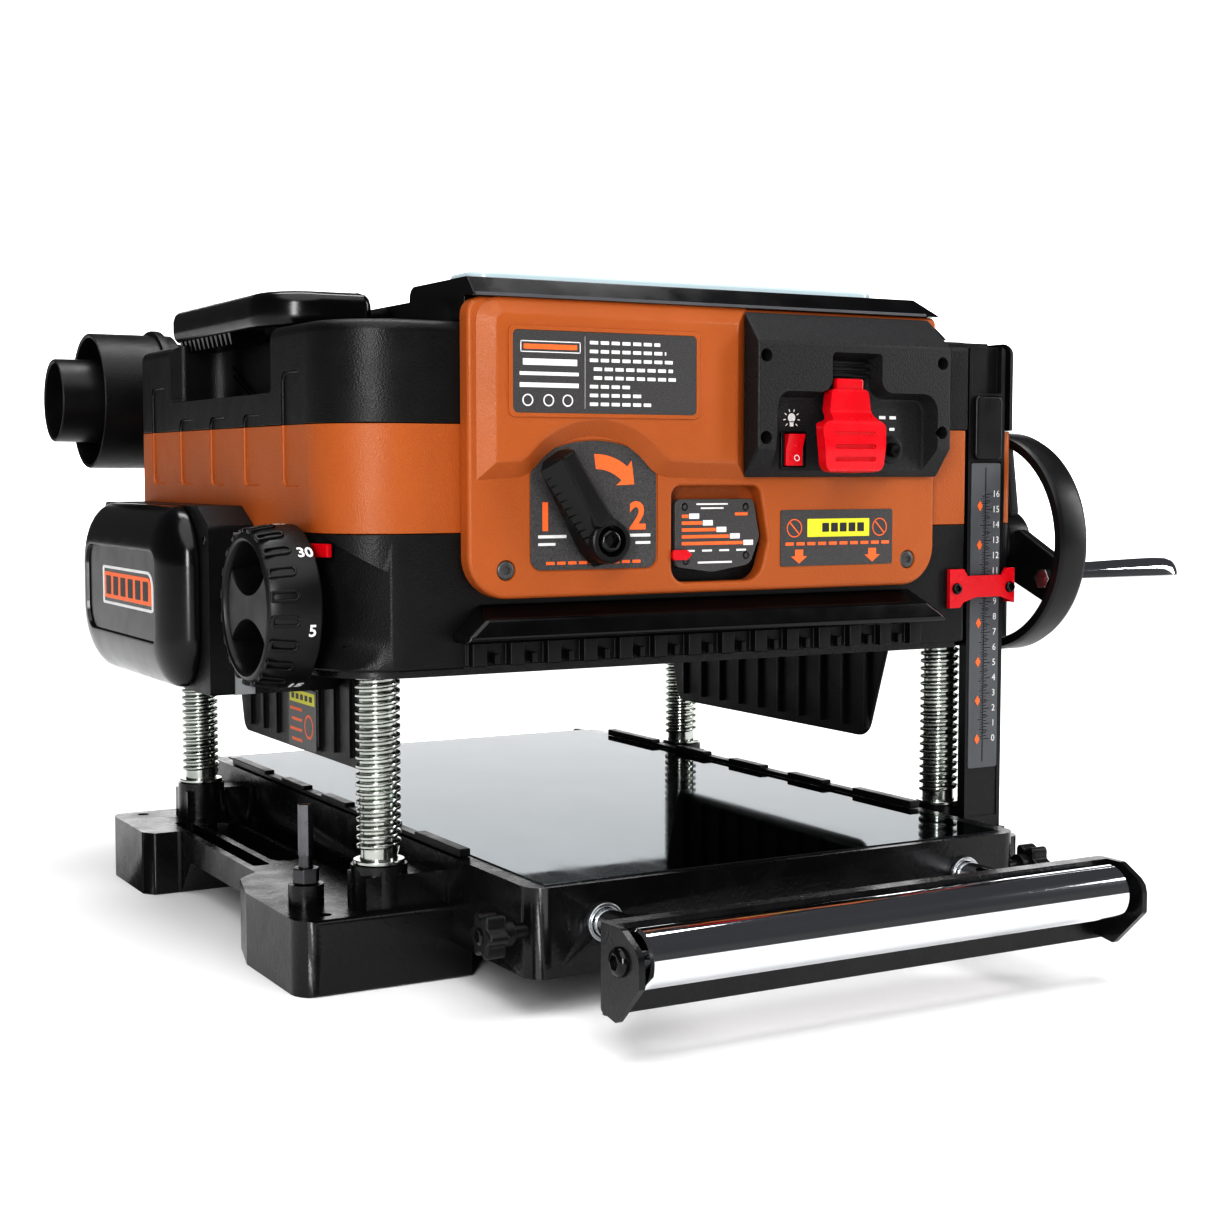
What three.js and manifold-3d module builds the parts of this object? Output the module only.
// A 330 mm (13 in) bench thickness planer: a cast base with a steel table and sliding roller
// extensions, four threaded columns, and a cutting head that climbs them.
// Millimetres, +X right, +Y towards the outfeed side, +Z up. Sizes below are heights above the
// floor; the finished group is lowered so that its origin is the middle of the table's top face.
import * as THREE from "three";
import { mergeVertices } from "three/addons/utils/BufferGeometryUtils.js";
import Module from "manifold-3d";

const GAP = 0.3; // clearance between pieces that touch

// Base: pan, wings with their feet, and the table plate
const TABLE_HEIGHT = 70;
const TABLE_HALF_WIDTH = 154.5;
const TABLE_FRONT = -277;
const TABLE_REAR = 240;
const PAN_HALF_WIDTH = 165;
const PAN_FRONT = -283;
const PAN_REAR = 246;
const PAN_BOTTOM = 21;
const PAN_WALL = 9;
const RIM_TOP = 69.4;
const DECK = [57, 66]; // the pan's top wall, which carries the table plate
const FOOT_OUTER = 256;
const FOOT_TOP = 42;
const FRONT_FOOT = [-186, -45];
const REAR_FOOT = [108, 198];
const WING_BOTTOM = 24;
const SKIRT_GROOVE = { x: [169, 187], y: [-144, 158], floor: 30 };
const RAIL_OUTER = 232; // the rail between the feet, set in from their outer faces
const HAND_POCKET = { x: [191, 211], y: [-22, 125], floor: 30, radius: 10 };
const EDGE_SLOT = { x: [216, 227], y: [-27, 140], floor: 30, radius: 2 };
const BOLT_HOLE = { inset: [20, 14], radius: 4 };

// Threaded columns, scale post and height stop
const COLUMN_X = 200;
const COLUMN_Y = 163.3;
const COLUMN_RADIUS = 12.7;
const COLUMN_TOP = 290;
const COLLAR_TOP = 66;
const POST = { x: [200, 230], y: [-190, -183], top: 366 };
const STOP = { x: -235.5, y: -142, boss: 54, radius: 4, top: 99 };

// Table extensions
const ROLLER = { radius: 15, z: 51.5, webOffset: 19, halfLength: 154, journal: 4.7 };
const ROD = { x: 122, z: 48, radius: 8, length: 165 };
const INFEED_WEB = -353; // rear face of the infeed bracket's web, extended by 70 mm
const OUTFEED_WEB = PAN_REAR + 3; // the same face of the outfeed bracket, pushed home
const LOCK = { y: { infeed: -273, outfeed: 236 }, z: 46, screw: 4 };

// Head housings
const HEAD_LEFT = -235;
const HEAD_RIGHT = 240;
const HEAD_FRONT = -192;
const HEAD_REAR = 183;
const HEAD_CORNER = 45;
const HEAD_WALL = 4;
const HEAD_BOTTOM = 176;
const BAND_BOTTOM = 251.5;
const BAND_TOP = 312;
const HEAD_TOP = 368.5;
const SLOT = { x: [197, 232.5], y: -181.2, rib: [222, -170] }; // for the scale post
const LIP_HALF_WIDTH = 167;
const GRIP = { x: 40, y: [-92, 102], floor: 331 };
const DECK_TOP = 384;
const BEAM = { front: -195, rear: -117, top: 392.5, left: -159, right: 180 };
const HANDLE = { x: [-230, -165], y: [-60, 124], z: [371, 390] };

// Front panel and switch
const PANEL_FRONT = -205;
const PANEL_HALF_WIDTH = 162;
const PANEL_BOTTOM = 214.7;
const PANEL_TOP = 381.6;
const GAUGE = { x: [-32, 32], z: [222.5, 277], floor: -199, pointer: [-31, -18.5] };
const SELECTOR = { x: -80.5, z: 246.5, reach: 57, angle: 123, hub: 6 };
const SWITCH = {
  x: [16, 161],
  z: [299.5, 361.5],
  back: [281.5, 380],
  front: -220,
  floor: -209,
  well: [[31, 148], [270, 333]],
  notch: [[70, 107], [330, 357]],
};
const RESET = { x: 122.5, z: 299, radius: 4, y: [-214, -208.4] };
const ROCKER = { x: [42.5, 54.5], z: [289, 308] };
const PADDLE = { x: [56.5, 103.5], z: [285, 316], tab: [[70, 97], [314, 341]] };

// Cutting and feeding, inside the head
const CUT_HEIGHT = 98; // lowest point of the cutting circle above the table at rest
const CUTTER = { y: 5, z: TABLE_HEIGHT + CUT_HEIGHT + 24, radius: 24, shaft: 8 };
const FEED = { y: [-45, 55], z: TABLE_HEIGHT + CUT_HEIGHT + 14, radius: 15, shaft: 6 };
const MOTOR = { y: 100, z: 234, radius: 43, shaft: 7 };
const CHEEK = [170, 180];

// Drive side: silver gear case, black plate over it and the belt's cover
const DRIVE = {
  front: -59.4,
  rear: 172,
  bottom: 153,
  ledge: 250,
  top: 265,
  outer: -263,
  seam: -248,
};
const CASTING = { inner: -183, top: 171, rear: 146 };
const COVER = { x: [-283.5, DRIVE.outer - GAP], y: [-43, DRIVE.rear], z: [154, DRIVE.top] };
const PULLEY = { cutter: 24, motor: 15, x: [-279, -264] };
const BELT = { x: [-278, -265], inside: 0.6, outside: 3 };

// Dust outlet
const HOOD = { x: [-184, 176], y: [HEAD_REAR + GAP, 341], z: [284, 392], wall: 4 };
const PORT = { y: 287, z: 338, radius: 50, reducerRadius: 30.5, wall: 3 };

// Handwheel on the right, stop turret on the left
const WHEEL = {
  y: -154,
  z: 238.5,
  x: [246, 270],
  radius: 73,
  rim: 8,
  hub: 21,
  shaft: 8,
  crank: 56,
  crankAngle: -24,
};
const TURRET = { y: -140.7, z: 211, x: [-270, -240], radius: 45.6, shaft: 6.5 };

const wasm = await Module();
wasm.setup();

// ---- geometry helpers -------------------------------------------------------------------------

// Turns a closed three.js geometry into a solid that can be joined and cut.
function solid(geometry) {
  geometry.deleteAttribute("normal");
  geometry.deleteAttribute("uv");
  const merged = mergeVertices(geometry, 1e-4);
  return new wasm.Manifold(
    new wasm.Mesh({
      numProp: 3,
      vertProperties: new Float32Array(merged.attributes.position.array),
      triVerts: new Uint32Array(merged.index.array),
    }),
  );
}

const join = (...solids) => solids.reduce((all, one) => all.add(one));
const cut = (body, ...tools) => tools.reduce((left, tool) => left.subtract(tool), body);

function box([x0, x1], [y0, y1], [z0, z1]) {
  const geometry = new THREE.BoxGeometry(x1 - x0, y1 - y0, z1 - z0);
  return solid(geometry.translate((x0 + x1) / 2, (y0 + y1) / 2, (z0 + z1) / 2));
}

// A closed outline through [u, v, corner radius] points, given anticlockwise. Each rounded
// corner becomes an arc of the given number of steps.
function outline(points, steps) {
  const path = points.flatMap(([u, v, radius = 0], i) => {
    const corner = new THREE.Vector2(u, v);
    if (!radius) return [corner];
    const towards = (other) => new THREE.Vector2(other[0], other[1]).sub(corner).normalize();
    const before = towards(points[(i + points.length - 1) % points.length]);
    const after = towards(points[(i + 1) % points.length]);
    const half = before.angleTo(after) / 2;
    const middle = before.clone().add(after).normalize();
    const centre = corner.clone().addScaledVector(middle, radius / Math.sin(half));
    const start = before.clone().multiplyScalar(radius / Math.tan(half)).add(corner).sub(centre);
    const sweep = (Math.PI - 2 * half) * (before.cross(after) > 0 ? -1 : 1);
    return Array.from({ length: steps + 1 }, (_, k) =>
      start.clone().rotateAround(new THREE.Vector2(), (sweep * k) / steps).add(centre));
  });
  return new THREE.Shape(path);
}

// Axis "x" reads an outline as (y, z), "y" as (x, z) and "z" as (x, y).
const FRAMES = {
  x: new THREE.Matrix4().set(0, 0, 1, 0, 1, 0, 0, 0, 0, 1, 0, 0, 0, 0, 0, 1),
  y: new THREE.Matrix4().set(1, 0, 0, 0, 0, 0, -1, 0, 0, 1, 0, 0, 0, 0, 0, 1),
  z: new THREE.Matrix4(),
};

// Extrudes an outline along an axis between two places.
function prism(axis, points, from, to, steps = 5) {
  const options = { depth: to - from, bevelEnabled: false };
  const geometry = new THREE.ExtrudeGeometry(outline(points, steps), options);
  geometry.translate(0, 0, axis === "y" ? -to : from);
  return solid(geometry.applyMatrix4(FRAMES[axis]));
}

const rectangle = ([u0, u1], [v0, v1], radius = 0) => [
  [u0, v0, radius],
  [u1, v0, radius],
  [u1, v1, radius],
  [u0, v1, radius],
];

const regular = (sides, radius, u, v, turn = 0) =>
  Array.from({ length: sides }, (_, i) => {
    const angle = turn + (i * 2 * Math.PI) / sides;
    return [u + radius * Math.cos(angle), v + radius * Math.sin(angle)];
  });

// A round bar along an axis; centre is read as prism reads an outline point.
const rod = (axis, [u, v], radius, from, to, sides = 24) =>
  prism(axis, regular(sides, radius, u, v), from, to);

// A piece turned about X from a [radius, x] profile that starts and ends on the axis and runs
// towards +X along its outside.
function turned([y, z], profile, sides) {
  const points = profile.map(([radius, along]) => new THREE.Vector2(radius, along));
  const geometry = new THREE.LatheGeometry(points, sides);
  geometry.rotateX(Math.PI / 2).translate(y, z, 0).applyMatrix4(FRAMES.x);
  return solid(geometry);
}

// ---- the assembly -----------------------------------------------------------------------------

const machine = new THREE.Group();
machine.position.z = -TABLE_HEIGHT;

const FINISHES = {
  castBlack: { color: 0x17181a, roughness: 0.35, metalness: 0.3 },
  blackPlastic: { color: 0x1c1d1f, roughness: 0.55, metalness: 0 },
  orangePlastic: { color: 0xe06a1e, roughness: 0.5, metalness: 0 },
  redPlastic: { color: 0xd8142a, roughness: 0.4, metalness: 0 },
  greyLabel: { color: 0x4a4c50, roughness: 0.5, metalness: 0 },
  zinc: { color: 0xb9bcb8, roughness: 0.3, metalness: 0.9 },
  steel: { color: 0x8f9398, roughness: 0.2, metalness: 0.9 },
  chrome: { color: 0xd9dadb, roughness: 0.08, metalness: 1 },
  aluminium: { color: 0xa9acae, roughness: 0.45, metalness: 0.8 },
  rubber: { color: 0x202020, roughness: 0.9, metalness: 0 },
  palePlastic: { color: 0xb8ccd0, roughness: 0.25, metalness: 0 },
};

function add(name, body, finish) {
  const { vertProperties, triVerts } = body.getMesh();
  const geometry = new THREE.BufferGeometry();
  geometry.setAttribute("position", new THREE.BufferAttribute(vertProperties, 3));
  geometry.setIndex(new THREE.BufferAttribute(triVerts, 1));
  geometry.computeVertexNormals();
  const mesh = new THREE.Mesh(geometry, new THREE.MeshStandardMaterial(FINISHES[finish]));
  mesh.name = name;
  machine.add(mesh);
}

const mirroredX = ([low, high], side) => (side < 0 ? [-high, -low] : [low, high]);
const corners = [
  ["front_left", -1, -1],
  ["front_right", 1, -1],
  ["rear_left", -1, 1],
  ["rear_right", 1, 1],
];
const sides = [
  ["left", -1],
  ["right", 1],
];

// ---- base -------------------------------------------------------------------------------------

function wing(side) {
  const across = mirroredX([PAN_HALF_WIDTH - 12, FOOT_OUTER], side);
  const profile = [
    [FRONT_FOOT[0], 0, 3],
    [FRONT_FOOT[1], 0, 3],
    [FRONT_FOOT[1] + 22, WING_BOTTOM, 6],
    [REAR_FOOT[0] - 22, WING_BOTTOM, 6],
    [REAR_FOOT[0], 0, 3],
    [REAR_FOOT[1], 0, 3],
    [REAR_FOOT[1], FOOT_TOP, 3],
    [FRONT_FOOT[0], FOOT_TOP, 3],
  ];
  const inner = PAN_HALF_WIDTH - 12;
  const plan = [
    [inner, FRONT_FOOT[0]],
    [FOOT_OUTER, FRONT_FOOT[0], 14],
    [FOOT_OUTER, -98, 8],
    [FOOT_OUTER - 10, -58, 3],
    [RAIL_OUTER, FRONT_FOOT[1], 3],
    [RAIL_OUTER, REAR_FOOT[0], 3],
    [FOOT_OUTER - 6, REAR_FOOT[0], 3],
    [FOOT_OUTER, REAR_FOOT[0] + 9, 3],
    [FOOT_OUTER, REAR_FOOT[1], 14],
    [inner, REAR_FOOT[1]],
  ].map(([x, y, radius]) => [side * x, y, radius]);
  return prism("x", profile, ...across).intersect(prism("z", plan, -1, FOOT_TOP + 1));
}

function footHollow(side, foot) {
  const across = mirroredX([PAN_HALF_WIDTH + 8, FOOT_OUTER - 20], side);
  return box(across, [foot[0] + 9, foot[1] - 9], [-1, SKIRT_GROOVE.floor - 8]);
}

function columnBoss(sideX, sideY) {
  const x = sideX * COLUMN_X;
  const y = sideY * COLUMN_Y;
  const across = mirroredX([PAN_HALF_WIDTH - 5, 214], sideX);
  const along = sideY < 0 ? [y - 15, y + 13] : [y - 13, y + 15];
  return join(
    rod("z", [x, y], 16, FOOT_TOP - 6, COLLAR_TOP),
    box(across, along, [FOOT_TOP - 6, 61]),
  );
}

function baseCasting() {
  const pan = cut(
    prism("z", rectangle([-PAN_HALF_WIDTH, PAN_HALF_WIDTH], [PAN_FRONT, PAN_REAR], 12),
      PAN_BOTTOM, RIM_TOP),
    box([-TABLE_HALF_WIDTH - 0.5, TABLE_HALF_WIDTH + 0.5], [TABLE_FRONT - 0.5, TABLE_REAR + 0.5],
      [DECK[1], 80]),
    box([-PAN_HALF_WIDTH + PAN_WALL, PAN_HALF_WIDTH - PAN_WALL],
      [PAN_FRONT + PAN_WALL, PAN_REAR - PAN_WALL], [0, DECK[0]]),
  );
  let base = join(
    pan,
    ...sides.map(([, side]) => wing(side)),
    ...corners.map(([, sideX, sideY]) => columnBoss(sideX, sideY)),
    rod("z", [STOP.x, STOP.y], 10, FOOT_TOP - 5, STOP.boss, 20),
    box([191, 232], [-193, -170], [FOOT_TOP - 5, 52]),
  );
  for (const [, side] of sides) {
    base = cut(
      base,
      box(mirroredX(SKIRT_GROOVE.x, side), SKIRT_GROOVE.y, [SKIRT_GROOVE.floor, 90]),
      ...[HAND_POCKET, EDGE_SLOT].map(({ x, y, floor, radius }) =>
        prism("z", rectangle(mirroredX(x, side), y, radius), floor, FOOT_TOP + 1, 2)),
      footHollow(side, FRONT_FOOT),
      footHollow(side, REAR_FOOT),
      ...[PAN_FRONT, PAN_REAR].map((end) =>
        rod("y", [side * ROD.x, ROD.z], ROD.radius + GAP, end - 12, end + 12)),
      ...Object.values(LOCK.y).map((y) =>
        rod("x", [y, LOCK.z], LOCK.screw + GAP, ...mirroredX([150, 170], side), 12)),
      ...[FRONT_FOOT[0] + BOLT_HOLE.inset[1], REAR_FOOT[1] - BOLT_HOLE.inset[1]].map((y) =>
        rod("z", [side * (FOOT_OUTER - BOLT_HOLE.inset[0]), y], BOLT_HOLE.radius, -1, 50, 12)),
    );
  }
  return cut(
    base,
    box([POST.x[0] - GAP, POST.x[1] + GAP], [POST.y[0] - GAP, POST.y[1] + GAP], [48, 60]),
    ...corners.map(([, sx, sy]) =>
      rod("z", [sx * COLUMN_X, sy * COLUMN_Y], COLUMN_RADIUS - 1.7, FOOT_TOP, 70)),
    rod("z", [STOP.x, STOP.y], STOP.radius + GAP, STOP.boss - 8, 60, 12),
  );
}

function tablePlate() {
  const plan = rectangle([-TABLE_HALF_WIDTH, TABLE_HALF_WIDTH], [TABLE_FRONT, TABLE_REAR]);
  return prism("z", plan, DECK[1] + GAP, TABLE_HEIGHT);
}

// A black strip along the table's edge, with notches in its upper edge.
function guideStrip(side) {
  const [low, high] = mirroredX([TABLE_HALF_WIDTH + 1.2, PAN_HALF_WIDTH - 2], side);
  let strip = box([low, high], [-190, 205], [RIM_TOP + GAP, RIM_TOP + 5]);
  for (const y of [-128, -52, 24, 100])
    strip = cut(strip, box([low - 1, high + 1], [y, y + 34], [RIM_TOP + 3, 90]));
  return strip;
}

function columnScrew(sideX, sideY) {
  const centre = [sideX * COLUMN_X, sideY * COLUMN_Y];
  return join(
    rod("z", centre, COLUMN_RADIUS, COLLAR_TOP + GAP, COLUMN_TOP),
    rod("z", centre, COLUMN_RADIUS - 2, FOOT_TOP + GAP, 70),
  );
}

// Post with a channel at its head and a raised pad over the depth scale.
function scalePost() {
  const [x0, x1] = POST.x;
  const [y0, y1] = POST.y;
  return cut(
    join(
      prism("y", [[x0, 48 + GAP], [x1, 48 + GAP], [x1, POST.top, 4], [x0, POST.top, 4]], y0, y1),
      box([x1 - 5, x1], [y1 - 1, -172], [60, 362]),
    ),
    box([x0 + 2.5, x1 - 3.5], [y0 - 1, y0 + 4.5], [336, POST.top + 1]),
    box([x0 + 2, x1 - 3], [y0 - 1, y0 + 0.8], [60, 292]),
  );
}

const depthScale = () =>
  box([POST.x[0] + 2.4, POST.x[1] - 3.4], [POST.y[0] + 0.1, POST.y[0] + 0.8 - GAP], [92, 291]);

const stopRod = () =>
  join(
    rod("z", [STOP.x, STOP.y], STOP.radius, STOP.boss - 8 + GAP, 72, 12),
    prism("z", regular(6, STOP.radius + 0.4, STOP.x, STOP.y, Math.PI / 6), 70, STOP.top),
  );

const stopNut = () =>
  cut(
    prism("z", regular(6, 2 * STOP.radius, STOP.x, STOP.y), STOP.boss + GAP, STOP.boss + 9),
    rod("z", [STOP.x, STOP.y], STOP.radius + GAP, STOP.boss - 1, STOP.boss + 10, 12),
  );

// ---- table extensions -------------------------------------------------------------------------

// Pieces of an extension start at its bracket's web; facing is -1 at the infeed end and +1 at
// the outfeed end.
function extensionRod(side, web, facing) {
  const outer = web - facing * GAP;
  const ends = [outer, outer - facing * ROD.length].sort((a, b) => a - b);
  return rod("y", [side * ROD.x, ROD.z], ROD.radius, ...ends);
}

function extensionBracket(web, facing) {
  const at = (distance) => web + facing * distance;
  const plate = [
    [at(0), 23, 2],
    [at(15), 20.5, 2],
    [at(37), 42, 2],
    [at(37), 58, 9],
    [at(20), 67.5, 6],
    [at(0), 67.5, 1],
  ];
  if (facing < 0) plate.reverse();
  const ends = sides.map(([, side]) => prism("x", plate, ...mirroredX([159.5, 163], side), 2));
  const span = (a, b) => [Math.min(at(a), at(b)), Math.max(at(a), at(b))];
  const holes = sides.map(([, side]) =>
    rod("x", [at(ROLLER.webOffset), ROLLER.z], ROLLER.journal + 2 * GAP,
      ...mirroredX([158, 164.5], side), 16));
  return cut(
    join(
      ...ends,
      box([-162, 162], span(0, 3), [21, 67]),
      box([-162, 162], span(0, 9), [64.5, 67.5]),
    ),
    ...holes,
  );
}

function extensionRoller(web, facing) {
  const y = web + facing * ROLLER.webOffset;
  return join(
    rod("x", [y, ROLLER.z], ROLLER.radius, -ROLLER.halfLength, ROLLER.halfLength, 32),
    rod("x", [y, ROLLER.z], ROLLER.journal, -162.6, 162.6, 16),
  );
}

// Six-lobed clamping knob with its screw through the pan wall.
function lockKnob(side, y) {
  const lobes = Array.from({ length: 24 }, (_, i) => {
    const angle = (i * 2 * Math.PI) / 24;
    const radius = 11 + 1.8 * Math.cos(6 * angle);
    return [y + radius * Math.cos(angle), LOCK.z + radius * Math.sin(angle)];
  });
  return join(
    prism("x", lobes, ...mirroredX([178, 190], side)),
    rod("x", [y, LOCK.z], 7, ...mirroredX([172, 180], side), 16),
    rod("x", [y, LOCK.z], LOCK.screw, ...mirroredX([157, 174], side), 12),
  );
}

// ---- head -------------------------------------------------------------------------------------

// The head seen from above, drawn in by a distance; its front right corner has a slot for the
// scale post and a lip beside it.
function headPlan(inset = 0) {
  const i = inset;
  const right = HEAD_RIGHT - i;
  const points = [
    [HEAD_LEFT + i, HEAD_FRONT + i, HEAD_CORNER - i],
    [SLOT.x[0] - i, HEAD_FRONT + i, i ? 0 : 3],
    [SLOT.x[0] - i, SLOT.y + i / 3],
    [SLOT.rib[0] - i, SLOT.y + i / 3],
    [SLOT.rib[0] - i, SLOT.rib[1] + i],
  ];
  if (i) points.push([right, SLOT.rib[1] + i]);
  else points.push([SLOT.x[1], SLOT.rib[1]], [SLOT.x[1], -186], [right, -186, 5]);
  points.push([right, HEAD_REAR - i, 14 - i], [HEAD_LEFT + i, HEAD_REAR - i, 14 - i]);
  return points;
}

const shell = (bottom, top) =>
  cut(prism("z", headPlan(), bottom, top), prism("z", headPlan(HEAD_WALL), bottom - 1, top + 1));

// Round hole through every wall of the drive side, on a shaft's line.
const driveHole = ({ y, z }, radius) => rod("x", [y, z], radius, -295, -150, 20);

function headChassis() {
  const plate = cut(
    prism("z", headPlan(HEAD_WALL + 0.6), 172, 190),
    box([-CHEEK[0], CHEEK[0]], [FEED.y[0] - 19, FEED.y[1] + 19], [160, 200]),
    ...corners.map(([, sx, sy]) => rod("z", [sx * COLUMN_X, sy * COLUMN_Y], 14.2, 160, 200)),
  );
  const cheek = [
    [-62, 185],
    [76, 185],
    [76, 236, 10],
    [40, 262, 10],
    [-30, 262, 10],
    [-62, 225, 10],
  ];
  const cheeks = sides.map(([, side]) => prism("x", cheek, ...mirroredX(CHEEK, side), 2));
  const bearings = FEED.y.flatMap((y) =>
    sides.map(([, side]) =>
      rod("x", [y, FEED.z], FEED.shaft + 0.4, ...mirroredX([CHEEK[0] - 2, CHEEK[1] - 1], side), 16)));
  const along = [DRIVE.front, CASTING.rear];
  const gearCase = join(
    box([DRIVE.seam + GAP, HEAD_LEFT - GAP], along, [DRIVE.bottom, DRIVE.ledge - GAP]),
    box([DRIVE.seam + GAP, CASTING.inner], along, [DRIVE.bottom, CASTING.top]),
    box([HEAD_LEFT + HEAD_WALL + 1, CASTING.inner], along, [DRIVE.bottom, 173]),
  );
  return cut(
    join(plate, ...cheeks, gearCase),
    ...bearings,
    driveHole(CUTTER, CUTTER.shaft + 2 * GAP),
    driveHole(MOTOR, MOTOR.shaft + 3),
    rod("x", [CUTTER.y, CUTTER.z], CUTTER.shaft + 2 * GAP, CHEEK[0] - 10, CHEEK[1] + 10, 20),
  );
}

// The lip under the panel: a sloping bar across the infeed side.
function frontLip() {
  const profile = [[-212, 191, 3], [-190, 191], [-190, 212], [-205, 204, 4]];
  return prism("x", profile, -LIP_HALF_WIDTH, LIP_HALF_WIDTH, 2);
}

function lowerHousing() {
  return cut(
    join(shell(HEAD_BOTTOM, BAND_BOTTOM - GAP / 2), frontLip()),
    box([-160, 160], [-200, HEAD_FRONT + HEAD_WALL + 1], [170, 191]),
    driveHole(CUTTER, CUTTER.shaft + 2),
    driveHole(MOTOR, MOTOR.shaft + 3),
    rod("x", [TURRET.y, TURRET.z], TURRET.shaft + 0.5, HEAD_LEFT - 1, HEAD_LEFT + 10, 16),
    rod("x", [WHEEL.y, WHEEL.z], WHEEL.shaft + 0.6, HEAD_RIGHT - 15, HEAD_RIGHT + 1, 20),
    box([GAUGE.pointer[0] - 1, GAUGE.pointer[1] + 1], [-200, -180], [228, 245]),
  );
}

const midBand = () => shell(BAND_BOTTOM + GAP / 2, BAND_TOP - GAP / 2);

// Top casing with a scooped hand grip in each side.
function upperHousing() {
  const bottom = BAND_TOP + GAP / 2;
  const outer = prism("z", headPlan(), bottom, HEAD_TOP);
  const inner = prism("z", headPlan(HEAD_WALL), bottom - 1, HEAD_TOP - HEAD_WALL);
  const scoop = (side, grow) => {
    const edge = side < 0 ? HEAD_LEFT : HEAD_RIGHT;
    const across = side < 0 ? [edge - 1, edge + GRIP.x + grow] : [edge - GRIP.x - grow, edge + 1];
    return box(across, [GRIP.y[0] - grow, GRIP.y[1] + grow], [GRIP.floor - grow, HEAD_TOP + 1]);
  };
  const liners = sides.map(([, side]) => scoop(side, HEAD_WALL).intersect(outer));
  const scoops = sides.map(([, side]) => scoop(side, 0));
  return cut(join(cut(outer, inner), ...liners), ...scoops);
}

// Raised beam behind the panel and the flat deck behind it.
function topCover() {
  const profile = [
    [HEAD_FRONT, HEAD_TOP + GAP],
    [150, HEAD_TOP + GAP],
    [150, DECK_TOP, 4],
    [BEAM.rear, DECK_TOP],
    [BEAM.rear, BEAM.top, 7],
    [BEAM.front, BEAM.top, 1],
    [PANEL_FRONT, PANEL_TOP + GAP],
    [HEAD_FRONT, PANEL_TOP + GAP],
  ];
  const span = [
    [BEAM.left, HEAD_TOP],
    [BEAM.right, HEAD_TOP],
    [BEAM.right - 30, BEAM.top],
    [BEAM.left, BEAM.top],
  ];
  const hollow = box([BEAM.left + 4, BEAM.right - 20], [HEAD_FRONT + 5, 145], [360, DECK_TOP - 5]);
  return cut(prism("x", profile, BEAM.left, BEAM.right), hollow)
    .intersect(prism("y", span, -220, 160));
}

const topPlate = () =>
  prism("z", rectangle([-140, 142], [-168, -124], 12), BEAM.top + GAP, 399.5);

function carryHandle() {
  const slab = prism("z", rectangle(HANDLE.x, HANDLE.y, 20), ...HANDLE.z);
  const foot = box([-192, HANDLE.x[1] - 2], [-40, 104], [HEAD_TOP + GAP, HANDLE.z[0] + 1]);
  return join(slab, foot);
}

function frontPanel() {
  const face = [
    [-PANEL_HALF_WIDTH, PANEL_BOTTOM, 22],
    [PANEL_HALF_WIDTH, PANEL_BOTTOM, 22],
    [PANEL_HALF_WIDTH, PANEL_TOP, 4],
    [-PANEL_HALF_WIDTH, PANEL_TOP, 10],
  ];
  const back = HEAD_FRONT - GAP;
  return cut(
    prism("y", face, PANEL_FRONT, back),
    box(GAUGE.x, [PANEL_FRONT - 1, GAUGE.floor], GAUGE.z),
    box([-150, -36], [-198, back + 1], [228, 372]),
    box([36, 150], [-198, back + 1], [228, 372]),
    box([-34, 34], [-198, back + 1], [282, 372]),
    rod("y", [SELECTOR.x, SELECTOR.z], SELECTOR.hub + 0.5, PANEL_FRONT - 1, back + 1, 16),
  );
}

function switchBox() {
  const back = PANEL_FRONT - GAP;
  const profile = [
    [SWITCH.front, SWITCH.z[0]],
    [back, SWITCH.back[0]],
    [back, SWITCH.back[1]],
    [SWITCH.front, SWITCH.z[1], 2],
  ];
  const face = [
    [SWITCH.x[0], SWITCH.back[0] - 1],
    [SWITCH.x[1], SWITCH.back[0] - 1],
    [SWITCH.x[1], SWITCH.z[1]],
    [SWITCH.x[1] - 9, PANEL_TOP],
    [SWITCH.x[0], PANEL_TOP],
  ];
  return cut(
    prism("x", profile, ...SWITCH.x).intersect(prism("y", face, -230, -200)),
    box(SWITCH.well[0], [SWITCH.front - 1, SWITCH.floor], SWITCH.well[1]),
    box(SWITCH.notch[0], [SWITCH.front - 1, SWITCH.floor], SWITCH.notch[1]),
    rod("y", [RESET.x, RESET.z], RESET.radius + GAP, SWITCH.floor - 1, back + 1, 16),
    box([ROCKER.x[0] - 2 * GAP, ROCKER.x[1] + 2 * GAP], [SWITCH.floor - 1, back + 1],
      [ROCKER.z[0] - 1.5, ROCKER.z[1] + 1.5]),
  );
}

function safetyPaddle() {
  const side = [
    [-229, 287, 3],
    [-212.5, 290],
    [-212.5, 338],
    [-222, 341, 3],
    [-226, 318, 3],
    [-233, 312, 3],
  ];
  const front = [
    [PADDLE.x[0], PADDLE.z[0], 4],
    [PADDLE.x[1], PADDLE.z[0], 4],
    [PADDLE.x[1], PADDLE.z[1], 3],
    [PADDLE.tab[0][1], PADDLE.z[1] + 2],
    [PADDLE.tab[0][1], PADDLE.tab[1][1], 3],
    [PADDLE.tab[0][0], PADDLE.tab[1][1], 3],
    [PADDLE.tab[0][0], PADDLE.z[1] + 2],
    [PADDLE.x[0], PADDLE.z[1], 3],
  ];
  return prism("x", side, ...PADDLE.x, 2).intersect(prism("y", front, -240, -205, 2));
}

function lightRocker() {
  const [low, high] = ROCKER.z;
  const side = [[-209.3, low], [-209.3, high], [-215, high], [-211.8, low + 10], [-211.5, low]];
  return prism("x", side, ...ROCKER.x);
}

const resetButton = () => rod("y", [RESET.x, RESET.z], RESET.radius, ...RESET.y, 16);

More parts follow.
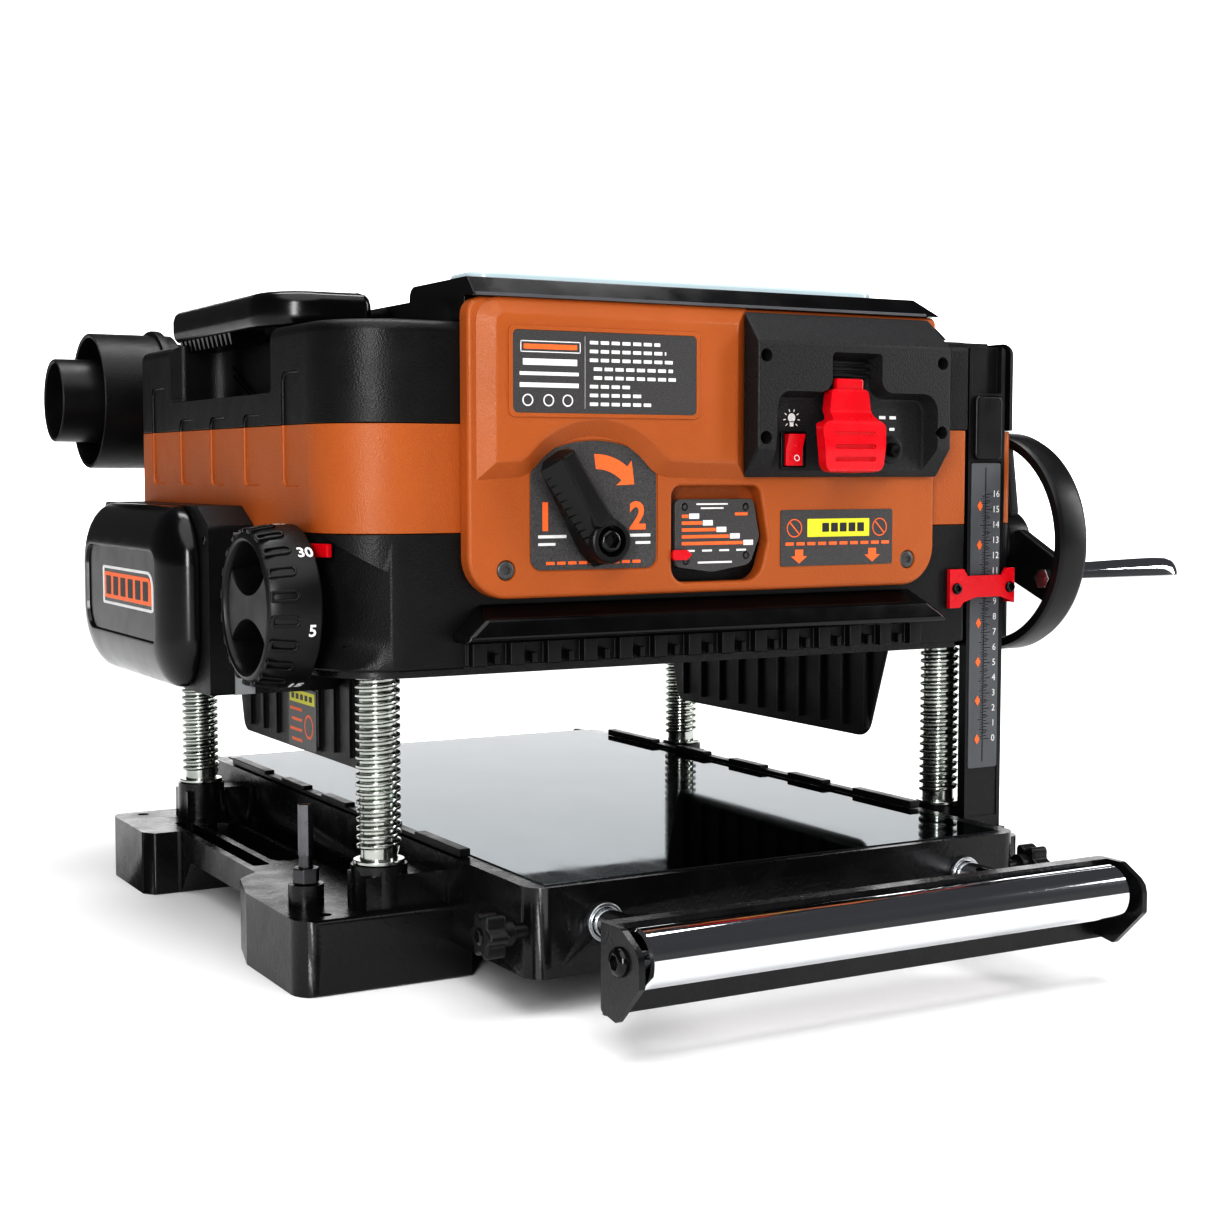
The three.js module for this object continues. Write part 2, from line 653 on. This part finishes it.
// Lever of the two-speed gearbox, turned about its hub.
function speedSelector() {
  const { reach } = SELECTOR;
  const angle = (SELECTOR.angle * Math.PI) / 180;
  const along = new THREE.Vector2(Math.cos(angle), Math.sin(angle));
  const across = new THREE.Vector2(-along.y, along.x);
  const at = (distance, off, radius) => [
    SELECTOR.x + along.x * distance + across.x * off,
    SELECTOR.z + along.y * distance + across.y * off,
    radius,
  ];
  const lever = [at(-15, 14, 9), at(-15, -14, 9), at(8, -13, 6), at(reach, -9, 7),
    at(reach, 9, 7), at(8, 13, 6)];
  return join(
    prism("y", lever, -222, PANEL_FRONT - 0.8),
    rod("y", [SELECTOR.x, SELECTOR.z], SELECTOR.hub, PANEL_FRONT - 3, PANEL_FRONT + 5, 16),
  );
}

const gaugePointer = () =>
  join(
    prism("y", [[-31, 234], [-22, 234], [-18.5, 237], [-22, 240], [-31, 240]], -204.6, -201.9),
    box([-31.6, -29], [-204.6, -200.4], [235, 239]),
  );

// Ribbed guard strip that hangs under the lip.
function fingerGuard() {
  const teeth = Array.from({ length: 14 }, (_, i) => -157 + i * 23.5);
  return join(
    box([-159.5, 159.5], [-191.5, -188.5], [177, 190.6]),
    ...teeth.map((x) => box([x, x + 9], [-197, -190], [177, 190.6])),
  );
}

// Ribbed side skirt that keeps chips off the columns.
function skirt(side) {
  const face = [
    [-116, 106, 14],
    [128, 106, 10],
    [147, 171.6],
    [-138, 171.6],
  ];
  const plate = prism("x", face, ...mirroredX([176, 179], side));
  const ribs = Array.from({ length: 9 }, (_, i) => -100 + i * 26).map((y) =>
    box(mirroredX([178, 181.5], side), [y, y + 6], [112, 165]));
  return join(plate, ...ribs);
}

// Two-screw pointer that reads the depth scale.
function scalePointer() {
  const z = 210.5;
  const plate = [
    [176, z - 12.5, 1.5],
    [190, z - 12.5, 1.5],
    [193, z - 9],
    [203, z - 6],
    [223, z - 6],
    [233, z - 9],
    [239, z - 12.5, 1.5],
    [239, z + 12.5, 1.5],
    [229, z + 12.5],
    [226, z + 8],
    [196, z + 8],
    [193, z + 12.5],
    [176, z + 12.5, 1.5],
  ];
  return join(
    prism("y", plate, -195.5, HEAD_FRONT - GAP, 2),
    box([233.5, 238.5], [-193, -186 - GAP], [z - 10, z + 10]),
  );
}

// ---- drive side -------------------------------------------------------------------------------

function drivePlate() {
  const { front, rear, bottom, ledge, top, outer, seam } = DRIVE;
  const plate = prism("x", rectangle([front, rear], [bottom, ledge + 2], 2), outer, seam);
  const canopy = [
    [front, ledge],
    [rear, ledge],
    [rear, top, 8],
    [front + 21, top, 2],
    [front, ledge + 4],
  ];
  return cut(
    join(plate, prism("x", canopy, outer, HEAD_LEFT - GAP)),
    driveHole(CUTTER, CUTTER.shaft + 2),
    driveHole(MOTOR, MOTOR.shaft + 3),
  );
}

function driveCover() {
  const face = (inset) => rectangle(
    [COVER.y[0] + inset, COVER.y[1] - inset], [COVER.z[0] + inset, COVER.z[1] - inset], 34 - inset);
  return cut(
    prism("x", face(0), ...COVER.x, 8),
    prism("x", face(4), COVER.x[0] + 4, COVER.x[1] + 1, 8),
  );
}

function motor() {
  const centre = [MOTOR.y, MOTOR.z];
  return cut(
    join(
      rod("x", centre, MOTOR.radius, -110, 90, 32),
      rod("x", centre, MOTOR.radius - 13, -124, 104, 24),
    ),
    rod("x", centre, MOTOR.shaft + 0.5, -130, -90, 16),
  );
}

const motorPulley = () =>
  join(
    rod("x", [MOTOR.y, MOTOR.z], PULLEY.motor, ...PULLEY.x, 24),
    rod("x", [MOTOR.y, MOTOR.z], MOTOR.shaft, PULLEY.x[1] - 5, -92, 16),
  );

// Segmented cutterhead with its journals and driven pulley.
function cutterhead() {
  const centre = [CUTTER.y, CUTTER.z];
  return join(
    prism("x", regular(18, CUTTER.radius, ...centre), -166, 166),
    rod("x", centre, CUTTER.shaft, PULLEY.x[1] - 5, CHEEK[1] + 2, 16),
    rod("x", centre, PULLEY.cutter, ...PULLEY.x, 28),
  );
}

// Points of the loop that a belt makes round the two pulleys, a distance outside them.
function beltLoop(extra) {
  const big = PULLEY.cutter + extra;
  const small = PULLEY.motor + extra;
  const from = new THREE.Vector2(CUTTER.y, CUTTER.z);
  const to = new THREE.Vector2(MOTOR.y, MOTOR.z);
  const heading = to.clone().sub(from).angle();
  const lean = Math.acos((big - small) / from.distanceTo(to));
  const arc = (centre, radius, start, sweep) =>
    Array.from({ length: 13 }, (_, k) => {
      const angle = start + (sweep * k) / 12;
      return [centre.x + radius * Math.cos(angle), centre.y + radius * Math.sin(angle)];
    });
  return [
    ...arc(to, small, heading - lean, 2 * lean),
    ...arc(from, big, heading + lean, 2 * (Math.PI - lean)),
  ];
}

const driveBelt = () =>
  cut(prism("x", beltLoop(BELT.outside), ...BELT.x), prism("x", beltLoop(BELT.inside), ...PULLEY.x));

function feedRoller(y) {
  return join(
    rod("x", [y, FEED.z], FEED.radius, 3 - CHEEK[0], CHEEK[0] - 3, 24),
    rod("x", [y, FEED.z], FEED.shaft, 1.6 - CHEEK[1], CHEEK[1] - 1.6, 12),
  );
}

function elevationNut(sideX, sideY) {
  const centre = [sideX * COLUMN_X, sideY * COLUMN_Y];
  return cut(
    prism("z", regular(24, 15.2, ...centre), 190 + GAP, 216),
    rod("z", centre, COLUMN_RADIUS + 0.5, 180, 220),
  );
}

// ---- dust outlet ------------------------------------------------------------------------------

function dustHood() {
  const outer = [
    [HOOD.y[0], HOOD.z[0], 4],
    [HOOD.y[1], HOOD.z[0], 48],
    [HOOD.y[1], HOOD.z[1], 50],
    [HOOD.y[0], HOOD.z[1] - 24, 4],
  ];
  const { wall } = HOOD;
  const inner = [
    [HOOD.y[0] + wall, HOOD.z[0] + wall],
    [HOOD.y[1] - wall, HOOD.z[0] + wall, 44],
    [HOOD.y[1] - wall, HOOD.z[1] - wall, 44],
    [HOOD.y[0] + wall, HOOD.z[1] - 24 - wall],
  ];
  const duct = cut(
    prism("x", outer, ...HOOD.x),
    prism("x", inner, HOOD.x[0] + wall, HOOD.x[1] - wall),
  );
  return cut(duct, rod("x", [PORT.y, PORT.z], PORT.radius - PORT.wall, HOOD.x[0] - 1,
    HOOD.x[0] + wall + 1, 32));
}

// Round outlet that is flanged to the left end of the hood.
function dustPort() {
  const centre = [PORT.y, PORT.z];
  const end = HOOD.x[0] - GAP;
  return cut(
    join(
      rod("x", centre, PORT.radius, -243.5, end, 32),
      rod("x", centre, PORT.radius + 3, -196, end, 32),
    ),
    rod("x", centre, PORT.radius - PORT.wall, -250, end + 1, 32),
  );
}

// Stepped sleeve that narrows the outlet for a small hose.
function dustReducer() {
  const centre = [PORT.y, PORT.z];
  return cut(
    join(
      rod("x", centre, PORT.radius - PORT.wall - GAP, -232, -205, 32),
      rod("x", centre, PORT.reducerRadius, -269, -220, 32),
    ),
    rod("x", centre, PORT.reducerRadius - PORT.wall, -275, -222, 32),
    rod("x", centre, PORT.radius - 2 * PORT.wall - GAP, -228, -200, 32),
  );
}

// ---- controls ---------------------------------------------------------------------------------

function wheelPoint(radius, degrees) {
  const angle = (degrees * Math.PI) / 180;
  return [WHEEL.y - radius * Math.cos(angle), WHEEL.z + radius * Math.sin(angle)];
}

function handwheel() {
  const centre = [WHEEL.y, WHEEL.z];
  const [x0, x1] = WHEEL.x;
  const rim = cut(
    rod("x", centre, WHEEL.radius, x0, x1, 40),
    rod("x", centre, WHEEL.radius - WHEEL.rim, x0 - 1, x1 + 1, 40),
  );
  const spokes = [0, 120, 240].map((turn) => {
    const angle = WHEEL.crankAngle + turn;
    const spoke = [
      wheelPoint(WHEEL.radius - 5, angle - 13),
      wheelPoint(WHEEL.radius - 5, angle + 13),
      wheelPoint(WHEEL.hub - 1, angle + 55),
      wheelPoint(WHEEL.hub - 1, angle - 55),
    ];
    return prism("x", spoke, x0 + 8, x1 - 8);
  });
  const hub = rod("x", centre, WHEEL.hub, x0 + 3, x1 - 3, 24);
  const shaft = rod("x", centre, WHEEL.shaft, HEAD_RIGHT - 22, x0 + 5, 16);
  return cut(
    join(rim, ...spokes, hub, shaft),
    rod("x", wheelPoint(WHEEL.crank, WHEEL.crankAngle), 4.5, x0, x1 + 1, 16),
  );
}

function crankGrip() {
  const centre = wheelPoint(WHEEL.crank, WHEEL.crankAngle);
  const root = WHEEL.x[1];
  const profile = [
    [0, root - 15],
    [4, root - 15],
    [4, root + 0.5],
    [9.5, root + 0.5],
    [10, root + 6],
    [12, root + 80],
    [12, root + 88],
    [9.5, root + 93],
    [0, root + 93],
  ];
  return turned(centre, profile, 20);
}

// Stop turret: a stepped drum with a cross grip in its face.
function depthTurret() {
  const centre = [TURRET.y, TURRET.z];
  const [face, back] = TURRET.x;
  const floor = face + 12;
  const profile = [
    [0, floor],
    [28, floor],
    [30, face],
    [37.5, face],
    [39.5, face + 2],
    [TURRET.radius, back - 6],
    [TURRET.radius, back],
    [0, back],
  ];
  const bar = box([face + 1, floor + 1], [TURRET.y - 29.5, TURRET.y + 29.5],
    [TURRET.z - 7, TURRET.z + 7]);
  const shaft = rod("x", centre, TURRET.shaft, back - 1, back + 18, 16);
  return join(turned(centre, profile, 32), bar, shaft);
}

// ---- everything in place ----------------------------------------------------------------------

add("base_casting", baseCasting(), "castBlack");
add("table_plate", tablePlate(), "steel");
for (const [name, side] of sides) add(`guide_strip_${name}`, guideStrip(side), "blackPlastic");
for (const [name, sx, sy] of corners) {
  add(`column_screw_${name}`, columnScrew(sx, sy), "zinc");
  add(`elevation_nut_${name}`, elevationNut(sx, sy), "steel");
}
add("scale_post", scalePost(), "blackPlastic");
add("depth_scale", depthScale(), "greyLabel");
add("stop_rod", stopRod(), "steel");
add("stop_nut", stopNut(), "steel");

for (const [end, web, facing] of [["infeed", INFEED_WEB, -1], ["outfeed", OUTFEED_WEB, 1]]) {
  for (const [name, side] of sides) {
    add(`${end}_rod_${name}`, extensionRod(side, web, facing), "chrome");
    add(`${end}_lock_knob_${name}`, lockKnob(side, LOCK.y[end]), "blackPlastic");
  }
  add(`${end}_bracket`, extensionBracket(web, facing), "castBlack");
  add(`${end}_roller`, extensionRoller(web, facing), "chrome");
}

add("head_chassis", headChassis(), "aluminium");
add("lower_housing", lowerHousing(), "blackPlastic");
add("mid_band", midBand(), "orangePlastic");
add("upper_housing", upperHousing(), "blackPlastic");
add("top_cover", topCover(), "blackPlastic");
add("top_plate", topPlate(), "palePlastic");
add("carry_handle", carryHandle(), "blackPlastic");
add("front_panel", frontPanel(), "orangePlastic");
add("switch_box", switchBox(), "blackPlastic");
add("finger_guard", fingerGuard(), "blackPlastic");
for (const [name, side] of sides) add(`skirt_${name}`, skirt(side), "blackPlastic");
add("scale_pointer", scalePointer(), "redPlastic");
add("gauge_pointer", gaugePointer(), "redPlastic");
add("safety_paddle", safetyPaddle(), "redPlastic");
add("light_rocker", lightRocker(), "redPlastic");
add("reset_button", resetButton(), "blackPlastic");
add("speed_selector", speedSelector(), "blackPlastic");

add("drive_plate", drivePlate(), "blackPlastic");
add("drive_cover", driveCover(), "blackPlastic");
add("motor", motor(), "aluminium");
add("motor_pulley", motorPulley(), "steel");
add("cutterhead", cutterhead(), "steel");
add("drive_belt", driveBelt(), "rubber");
add("feed_roller_front", feedRoller(FEED.y[0]), "rubber");
add("feed_roller_rear", feedRoller(FEED.y[1]), "rubber");

add("dust_hood", dustHood(), "blackPlastic");
add("dust_port", dustPort(), "blackPlastic");
add("dust_reducer", dustReducer(), "blackPlastic");
add("handwheel", handwheel(), "blackPlastic");
add("crank_grip", crankGrip(), "chrome");
add("depth_turret", depthTurret(), "blackPlastic");

const root = new THREE.Group();
root.add(machine);
export default root;
